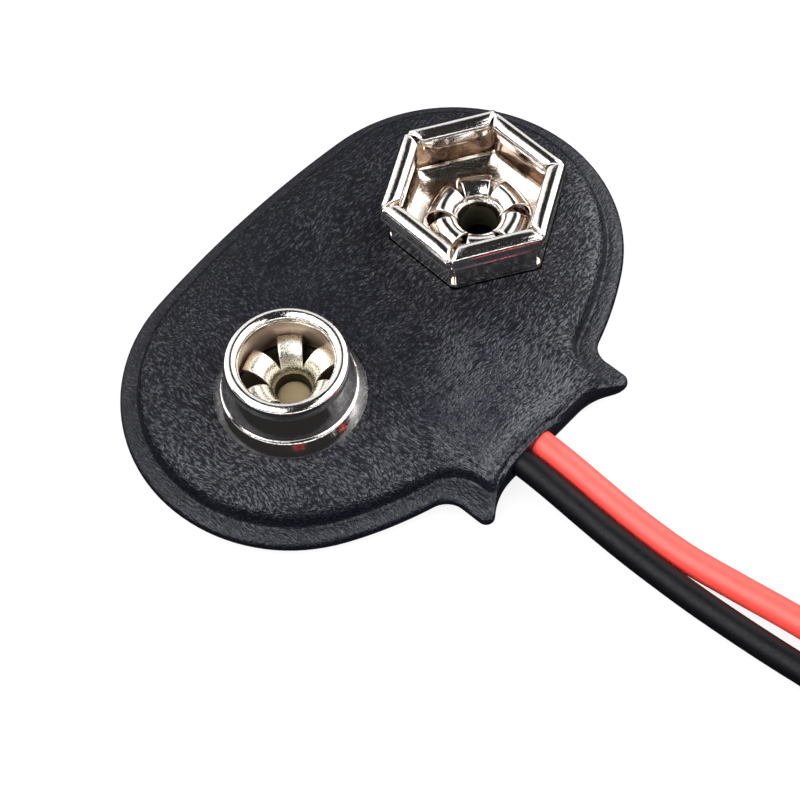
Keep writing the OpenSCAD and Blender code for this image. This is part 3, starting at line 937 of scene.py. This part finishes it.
# grain of pressed leather cloth: short strokes, along Y round the stud and along X towards the mouth
grain, grainIn, grainOut = newGroup(
    "leatherGrain",
    [
        ("Vector", "NodeSocketVector", None),
        ("Long", "NodeSocketFloat", 4200.0),
        ("Fine", "NodeSocketFloat", 12000.0),
        ("Ridge", "NodeSocketFloat", 0.3),
    ],
    [("Height", "NodeSocketFloat"), ("Crest", "NodeSocketFloat")],
)
place = grainIn.outputs["Vector"]
swirl = addNode(grain, "ShaderNodeTexNoise", {"Vector": place, "Scale": 380.0, "Detail": 1.0})
shift = vectorMath(grain, "SUBTRACT", swirl.outputs["Color"], (0.5, 0.5, 0.5))
push = addNode(grain, "ShaderNodeVectorMath", {0: shift, "Scale": 0.0012}, operation="SCALE")
bent = vectorMath(grain, "ADD", place, push.outputs["Vector"])
strokes = []
for first, second in (("Fine", "Long"), ("Long", "Fine")):
    sizes = {"X": grainIn.outputs[first], "Y": grainIn.outputs[second], "Z": grainIn.outputs["Fine"]}
    stretch = addNode(grain, "ShaderNodeCombineXYZ", sizes).outputs[0]
    laid = vectorMath(grain, "MULTIPLY", bent, stretch)
    texture = {"Vector": laid, "Scale": 1.0, "Detail": 2.0, "Roughness": 0.55}
    fine = addNode(grain, "ShaderNodeTexNoise", texture)
    cells = addNode(grain, "ShaderNodeTexVoronoi", {"Vector": laid, "Scale": 0.8}, feature="SMOOTH_F1")
    strokes.append(math2(grain, "MULTIPLY_ADD", cells.outputs["Distance"], -0.45, fine.outputs["Fac"]))
side = addNode(grain, "ShaderNodeSeparateXYZ", {"Vector": bent}).outputs["X"]
lay = remap(grain, side, -0.0055, 0.0005)
height = mixOf(grain, "FLOAT", lay, strokes[0], strokes[1])
ridge = math2(grain, "SUBTRACT", height, grainIn.outputs["Ridge"])
grain.links.new(height, grainOut.inputs["Height"])
grain.links.new(remap(grain, ridge, -0.06, 0.3), grainOut.inputs["Crest"])

# small waves, scratches and dull spots of plated sheet
plating, platingIn, platingOut = newGroup(
    "plating",
    [
        ("Vector", "NodeSocketVector", None),
        ("Wave", "NodeSocketFloat", 900.0),
        ("Speck", "NodeSocketFloat", 14000.0),
    ],
    [("Height", "NodeSocketFloat"), ("Dull", "NodeSocketFloat")],
)
place = platingIn.outputs["Vector"]
noises = []
for size in ("Wave", "Speck"):
    texture = {"Vector": place, "Scale": platingIn.outputs[size], "Detail": 2.0}
    noises.append(addNode(plating, "ShaderNodeTexNoise", texture).outputs["Fac"])
dull = remap(plating, noises[1], 0.42, 0.68)
plating.links.new(math2(plating, "MULTIPLY_ADD", dull, 0.22, noises[0]), platingOut.inputs["Height"])
plating.links.new(dull, platingOut.inputs["Dull"])


# in metres; the ridge level is lower near the camera, at the mouth and on the right rim, so the grain there
# has
# more of its lighter, coated crests: a painted sheen
vinylLook = {
    "depth": 0.00006,
    "mouth": (-0.0003, -0.0075, 0.002),
    "sheenFar": (-0.008, 0.001, 0.25, 0.31),  # from and to, with the ridge level at each
    "sheenMouth": (0.002, 0.0065, 0.14, 0.31),
    "sheenRight": (0.0082, 0.0098, 0.31, 0.18),
    "pressed": (0.0012, 0.0016, 0.6, 0),  # the welded flange is smoother
    "pressedCrest": 0.34,
    "valley": (0.0015, 0.0016, 0.0032, 1),
    "crest": (0.005, 0.0056, 0.013, 1),
    "rough": (0.42, 0.3),  # in a valley and on a crest
}


def vinylFinish(name):
    material, tree, shader = newMaterial(name, (0.003, 0.0035, 0.009), 0.4)
    shader.inputs["Specular IOR Level"].default_value = 0.14
    shader.inputs["Specular Tint"].default_value = (0.86, 0.88, 1.0, 1)
    shader.inputs["Coat Roughness"].default_value = 0.24
    shader.inputs["Coat IOR"].default_value = 1.55
    where = addNode(tree, "ShaderNodeTexCoord").outputs["Object"]
    farWay = vectorMath(tree, "DOT_PRODUCT", where, studio["far"], "Value")
    mouthWay = vectorMath(tree, "DISTANCE", where, vinylLook["mouth"], "Value")
    rightWay = vectorMath(tree, "DOT_PRODUCT", where, studio["right"], "Value")
    # painted sheen: more lighter, coated crests near the camera, at the mouth and on the right rim
    ridge = remap(tree, farWay, *vinylLook["sheenFar"])
    ridge = math2(tree, "MINIMUM", ridge, remap(tree, mouthWay, *vinylLook["sheenMouth"]))
    ridge = math2(tree, "MINIMUM", ridge, remap(tree, rightWay, *vinylLook["sheenRight"]))
    folds = useGroup(tree, grain, {"Vector": where, "Ridge": ridge}).outputs
    height = addNode(tree, "ShaderNodeSeparateXYZ", {"Vector": where}).outputs["Z"]
    pressed = remap(tree, height, *vinylLook["pressed"])
    crest = mixOf(tree, "FLOAT", pressed, folds["Crest"], vinylLook["pressedCrest"])
    tone = mixOf(tree, "RGBA", crest, vinylLook["valley"], vinylLook["crest"])
    tree.links.new(tone, shader.inputs["Base Color"])
    tree.links.new(crest, shader.inputs["Coat Weight"])
    tree.links.new(remap(tree, crest, 0, 1, *vinylLook["rough"]), shader.inputs["Roughness"])
    relief = {"Strength": 1.0, "Distance": vinylLook["depth"], "Height": folds["Height"]}
    bump = addNode(tree, "ShaderNodeBump", relief).outputs["Normal"]
    tree.links.new(bump, shader.inputs["Normal"])
    tree.links.new(bump, shader.inputs["Coat Normal"])
    return material


def nickelFinish(name, color, smooth, dull, metallic=1.0):
    material, tree, shader = newMaterial(name, color, smooth, metallic)
    where = addNode(tree, "ShaderNodeTexCoord").outputs["Object"]
    wear = useGroup(tree, plating, {"Vector": where})
    tree.links.new(remap(tree, wear.outputs["Dull"], 0, 1, smooth, dull), shader.inputs["Roughness"])
    relief = {"Strength": 0.5, "Distance": 0.00001, "Height": wear.outputs["Height"]}
    bump = addNode(tree, "ShaderNodeBump", relief)
    tree.links.new(bump.outputs["Normal"], shader.inputs["Normal"])
    return material


def insulationFinish(name, color, dark, roughness, shine=0.5):
    material, tree, shader = newMaterial(name, color, roughness)
    shader.inputs["Specular IOR Level"].default_value = shine
    where = addNode(tree, "ShaderNodeTexCoord").outputs["Object"]
    clouds = addNode(tree, "ShaderNodeTexNoise", {"Vector": where, "Scale": 900.0, "Detail": 3.0})
    tone = mixOf(tree, "RGBA", clouds.outputs["Fac"], (*dark, 1), (*color, 1))
    tree.links.new(tone, shader.inputs["Base Color"])
    fine = addNode(tree, "ShaderNodeTexNoise", {"Vector": where, "Scale": 6000.0, "Detail": 2.0})
    fine = fine.outputs["Fac"]
    rough = remap(tree, fine, 0.3, 0.7, roughness - 0.06, roughness + 0.08)
    tree.links.new(rough, shader.inputs["Roughness"])
    bump = addNode(tree, "ShaderNodeBump", {"Strength": 0.25, "Distance": 0.00002, "Height": fine})
    tree.links.new(bump.outputs["Normal"], shader.inputs["Normal"])
    return material


vinyl = vinylFinish("vinyl")
nickel = nickelFinish("nickel", (0.84, 0.81, 0.78), 0.05, 0.13)
# painted shade: darker, browner nickel for the socket's inner floor and darker still for its inner walls
nickelCupShaded = nickelFinish("nickelCupShaded", (0.62, 0.54, 0.47), 0.08, 0.16)
nickelWallShaded = nickelFinish("nickelWallShaded", (0.36, 0.27, 0.21), 0.14, 0.26)
# painted shade: darker, browner nickel inside the stud's cup; cupShade is the near-black painted shade of
# its floor
nickelDullShaded = nickelFinish("nickelDullShaded", (0.34, 0.25, 0.18), 0.36, 0.5, 0.5)
cupShade = nickelFinish("cupShade", (0.05, 0.042, 0.034), 0.45, 0.6)
nickelPetal = nickelFinish("nickelPetal", (0.84, 0.81, 0.72), 0.24, 0.38)
tinned = nickelFinish("tinned", (0.74, 0.74, 0.72), 0.25, 0.45)
# painted shade: near-black colour for the eyelets' bores and petals' feet
boreShade = insulationFinish("boreShade", (0.03, 0.028, 0.016), (0.015, 0.014, 0.009), 0.6, 0.1)
solder = insulationFinish("solder", (0.34, 0.27, 0.14), (0.22, 0.16, 0.09), 0.5)
redPlastic = insulationFinish("redPlastic", (0.95, 0.08, 0.063), (0.93, 0.065, 0.052), 0.42)
blackPlastic = insulationFinish("blackPlastic", (0.003, 0.003, 0.004), (0.001, 0.001, 0.002), 0.42, 0.15)
fibre = insulationFinish("fibre", (0.16, 0.09, 0.045), (0.10, 0.055, 0.03), 0.7)
paper = insulationFinish("tiePaper", (0.72, 0.72, 0.70), (0.62, 0.62, 0.6), 0.6)
print("finishes made")

blackLead.data.materials.append(blackPlastic)
redLead.data.materials.append(redPlastic)
buildTopCover([vinyl])
buildBackCover([vinyl])
buildStud([nickel, nickelDullShaded, cupShade])
buildSocket([nickel, nickelCupShaded, nickelWallShaded])
buildEyelet("studEyelet", studX, petals["stud"], [nickelPetal, boreShade], "stud_eyelet")
buildEyelet("socketEyelet", socketX, petals["socket"], [nickel, boreShade], "socket_eyelet")
buildSolder([solder])
coilTie = buildTie([paper])
blackTip = buildTip("blackTip", blackEnd, blackHeading, [tinned], "black_tip")
redTip = buildTip("redTip", redEnd, redHeading, [tinned], "red_tip")

# what stays as the part's source made it, out of sight in the cover
hidden = (("contact_board", fibre), ("socket_solder", solder), ("black_core", tinned), ("red_core", tinned))
for node, finish in hidden:
    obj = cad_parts[node]
    obj.data.materials.clear()
    obj.data.materials.append(finish)


# pale floor, white to the camera but for a faint shadow, dark in reflections as in a black tent
clearSelection()
bpy.ops.mesh.primitive_plane_add(size=3, location=(0, 0, -0.00002))
floor = bpy.context.object
floor.name = "floor"
floorMaterial = bpy.data.materials.new("floorPaper")
floorMaterial.use_nodes = True
tree = floorMaterial.node_tree
tree.nodes.clear()
path = addNode(tree, "ShaderNodeLightPath").outputs
mirrored = math2(tree, "MAXIMUM", path["Is Glossy Ray"], path["Is Transmission Ray"])
level = mixOf(tree, "FLOAT", mirrored, 1.0, studio["dim"])
matte = addNode(tree, "ShaderNodeBsdfDiffuse", {"Color": (*studio["floor"], 1)})
glow = addNode(tree, "ShaderNodeEmission", {"Color": (1, 1, 1, 1), "Strength": level})
share = math2(tree, "MULTIPLY", path["Is Camera Ray"], 1 - studio["shadow"])
share = math2(tree, "MAXIMUM", share, mirrored)
blend = addNode(tree, "ShaderNodeMixShader", {0: share, 1: matte.outputs[0], 2: glow.outputs[0]})
addNode(tree, "ShaderNodeOutputMaterial", {"Surface": blend.outputs[0]})
floor.data.materials.append(floorMaterial)

# room: a lit backdrop, low light and a soft box on each side with a dark strip between, a key light on the
# right, and in front a thin lit band and a small red light
room = {  # swings in degrees and shares of the way to the right, each with its soft edge
    "boxSide": (0.2, 0.92, 0.04),
    "boxSwing": (30, 138, 5),
    "boxRise": (60, 94),  # swings over which the boxes grow brighter
    "stripTurn": (84, 100),  # swings over which the dark strip moves right and widens
    "stripMiddle": (0.07, 0.15),
    "stripWider": (0, 0.06),
    "sillSwing": (158, 166, 2),
    "backSwing": (-20, 41, 2),
    "backFar": (0.0, 0.2),
    "lowSide": (0.3, 0.6),
    "lowSwing": (-20, 90, 5),
    "keySide": (0.45, 0.93, 0.05),
    "keySwing": (30, 72, 6),
    "redReach": (0.04, 0.17),
}
world = bpy.data.worlds.new("room")
scene.world = world
world.use_nodes = True
tree = world.node_tree
tree.nodes.clear()


def window(value, low, high, soft):
    # one inside low to high, none outside
    up = remap(tree, value, low - soft, low + soft)
    down = remap(tree, value, high - soft, high + soft, 1, 0)
    return math2(tree, "MULTIPLY", up, down)


ray = addNode(tree, "ShaderNodeTexCoord").outputs["Generated"]
farWay = vectorMath(tree, "DOT_PRODUCT", ray, studio["far"], "Value")
sideWay = vectorMath(tree, "DOT_PRODUCT", ray, studio["right"], "Value")
upWay = addNode(tree, "ShaderNodeSeparateXYZ", {"Vector": ray}).outputs["Z"]
swing = math2(tree, "ARCTAN2", upWay, farWay)
swing = math2(tree, "DEGREES", swing)  # 0 at the far horizon, 90 overhead, 180 in front
stripMiddle = remap(tree, swing, *room["stripTurn"], *room["stripMiddle"])
wide = math2(tree, "ABSOLUTE", math2(tree, "SUBTRACT", sideWay, stripMiddle))
wide = math2(tree, "SUBTRACT", wide, remap(tree, swing, *room["stripTurn"], *room["stripWider"]))
pair = math2(tree, "MULTIPLY", window(wide, *room["boxSide"]), window(swing, *room["boxSwing"]))
boxes = math2(tree, "MULTIPLY", pair, remap(tree, swing, *room["boxRise"], studio["boxes"], studio["front"]))
sill = math2(tree, "MULTIPLY", window(swing, *room["sillSwing"]), studio["sill"])
key = math2(tree, "MULTIPLY", window(sideWay, *room["keySide"]), window(swing, *room["keySwing"]))
key = math2(tree, "MULTIPLY", key, studio["key"])
backdrop = math2(tree, "MULTIPLY", window(swing, *room["backSwing"]), remap(tree, farWay, *room["backFar"]))
lowSides = remap(tree, math2(tree, "ABSOLUTE", sideWay), *room["lowSide"], 0, studio["lowSides"])
lowSides = math2(tree, "MULTIPLY", lowSides, window(swing, *room["lowSwing"]))
low = math2(tree, "MULTIPLY", math2(tree, "MAXIMUM", backdrop, lowSides), studio["backdrop"])
level = studio["dim"]
for light in (boxes, sill, key, low):
    level = math2(tree, "MAXIMUM", light, level)
path = addNode(tree, "ShaderNodeLightPath").outputs
strength = mixOf(tree, "FLOAT", path["Is Camera Ray"], level, 1.0)
redWay = vectorMath(tree, "DISTANCE", ray, studio["redWay"], "Value")
redShare = remap(tree, redWay, *room["redReach"], 1, 0)
strength = math2(tree, "MAXIMUM", strength, math2(tree, "MULTIPLY", redShare, studio["red"]))
paint = mixOf(tree, "RGBA", redShare, (1, 1, 1, 1), studio["redColor"])
sky = addNode(tree, "ShaderNodeBackground", {"Color": paint, "Strength": strength})
addNode(tree, "ShaderNodeOutputWorld", {"Surface": sky.outputs[0]})

bpy.context.view_layer.update()
